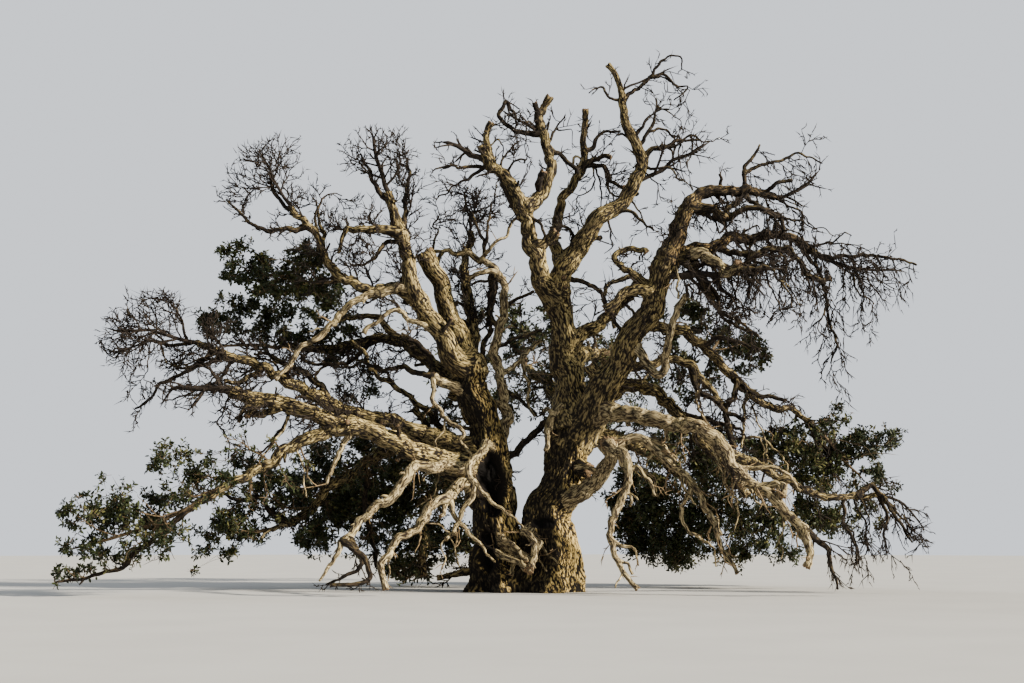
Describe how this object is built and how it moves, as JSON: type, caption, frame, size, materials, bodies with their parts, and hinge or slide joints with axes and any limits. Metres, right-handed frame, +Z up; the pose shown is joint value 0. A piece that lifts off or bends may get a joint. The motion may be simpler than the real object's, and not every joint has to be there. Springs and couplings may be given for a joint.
{
  "type": "oak tree",
  "caption": "Ancient evergreen oak with leaning stems on a flared foot, long crooked bare boughs, fine dead twigs and dark leafy masses low down and behind.",
  "frame": {"origin": "centre of the trunk's flat cut at ground level", "axes": "+Z up along the growth, +X toward the side of the arching bough, -Y toward the side with the hanging dead boughs, from which the picture was taken"},
  "size_m": [24.3537, 15.0225, 15.8311],
  "materials": {
    "bark": "deeply furrowed brown bark, sunlit tan on the ridges",
    "weathered_wood": "bleached dead wood with thin flaking bark",
    "bare_twigs": "thin dark dead twigs",
    "leafy_sprays": "small dark green evergreen leaves on thin twigs"
  },
  "bodies": {
    "root": {"trunk": "bark", "west_stem": "bark", "crest_bough": "bark", "east_bough": "bark", "broken_top_bough": "bark", "west_crown_bough": "bark", "back_west_bough": "bark", "braided_bough": "weathered_wood", "west_low_bough": "bark", "west_fork_bough": "bark", "west_mid_bough": "bark", "west_shelf_bough": "bark", "northwest_bough": "bark", "west_back_low_bough": "bark", "front_west_bough": "weathered_wood", "front_knee_bough": "weathered_wood", "front_hanging_bough": "weathered_wood", "west_crest_bough": "bark", "crown_bough": "bark", "knotted_bough": "bark", "dark_reach_bough": "bark", "arch_bough": "bark", "arch_low_bough": "bark", "east_low_bough": "weathered_wood", "far_east_bough": "bark", "east_step_bough": "bark", "east_mid_bough": "bark", "east_elbow_bough": "weathered_wood", "hanging_bough": "weathered_wood", "east_droop_bough": "weathered_wood", "back_low_bough": "bark", "back_mid_bough": "bark", "back_east_bough": "bark", "back_far_bough": "bark", "back_far_east_bough": "bark", "far_west_leaves": "leafy_sprays", "west_low_leaves": "leafy_sprays", "west_under_leaves": "leafy_sprays", "back_west_leaves": "leafy_sprays", "west_high_leaves": "leafy_sprays", "west_shelf_leaves": "leafy_sprays", "back_mid_leaves": "leafy_sprays", "east_high_leaves": "leafy_sprays", "east_low_leaves": "leafy_sprays", "east_inner_leaves": "leafy_sprays", "back_far_leaves": "leafy_sprays", "back_far_east_leaves": "leafy_sprays", "northwest_twigs": "bare_twigs", "far_west_twigs": "bare_twigs", "west_low_twigs": "bare_twigs", "west_crown_twigs": "bare_twigs", "back_west_twigs": "bare_twigs", "west_crest_twigs": "bare_twigs", "crown_twigs": "bare_twigs", "crest_twigs": "bare_twigs", "crest_east_twigs": "bare_twigs", "arch_twigs": "bare_twigs", "arch_end_twigs": "bare_twigs", "arch_under_twigs": "bare_twigs", "far_east_twigs": "bare_twigs"}
  },
  "joints": []
}
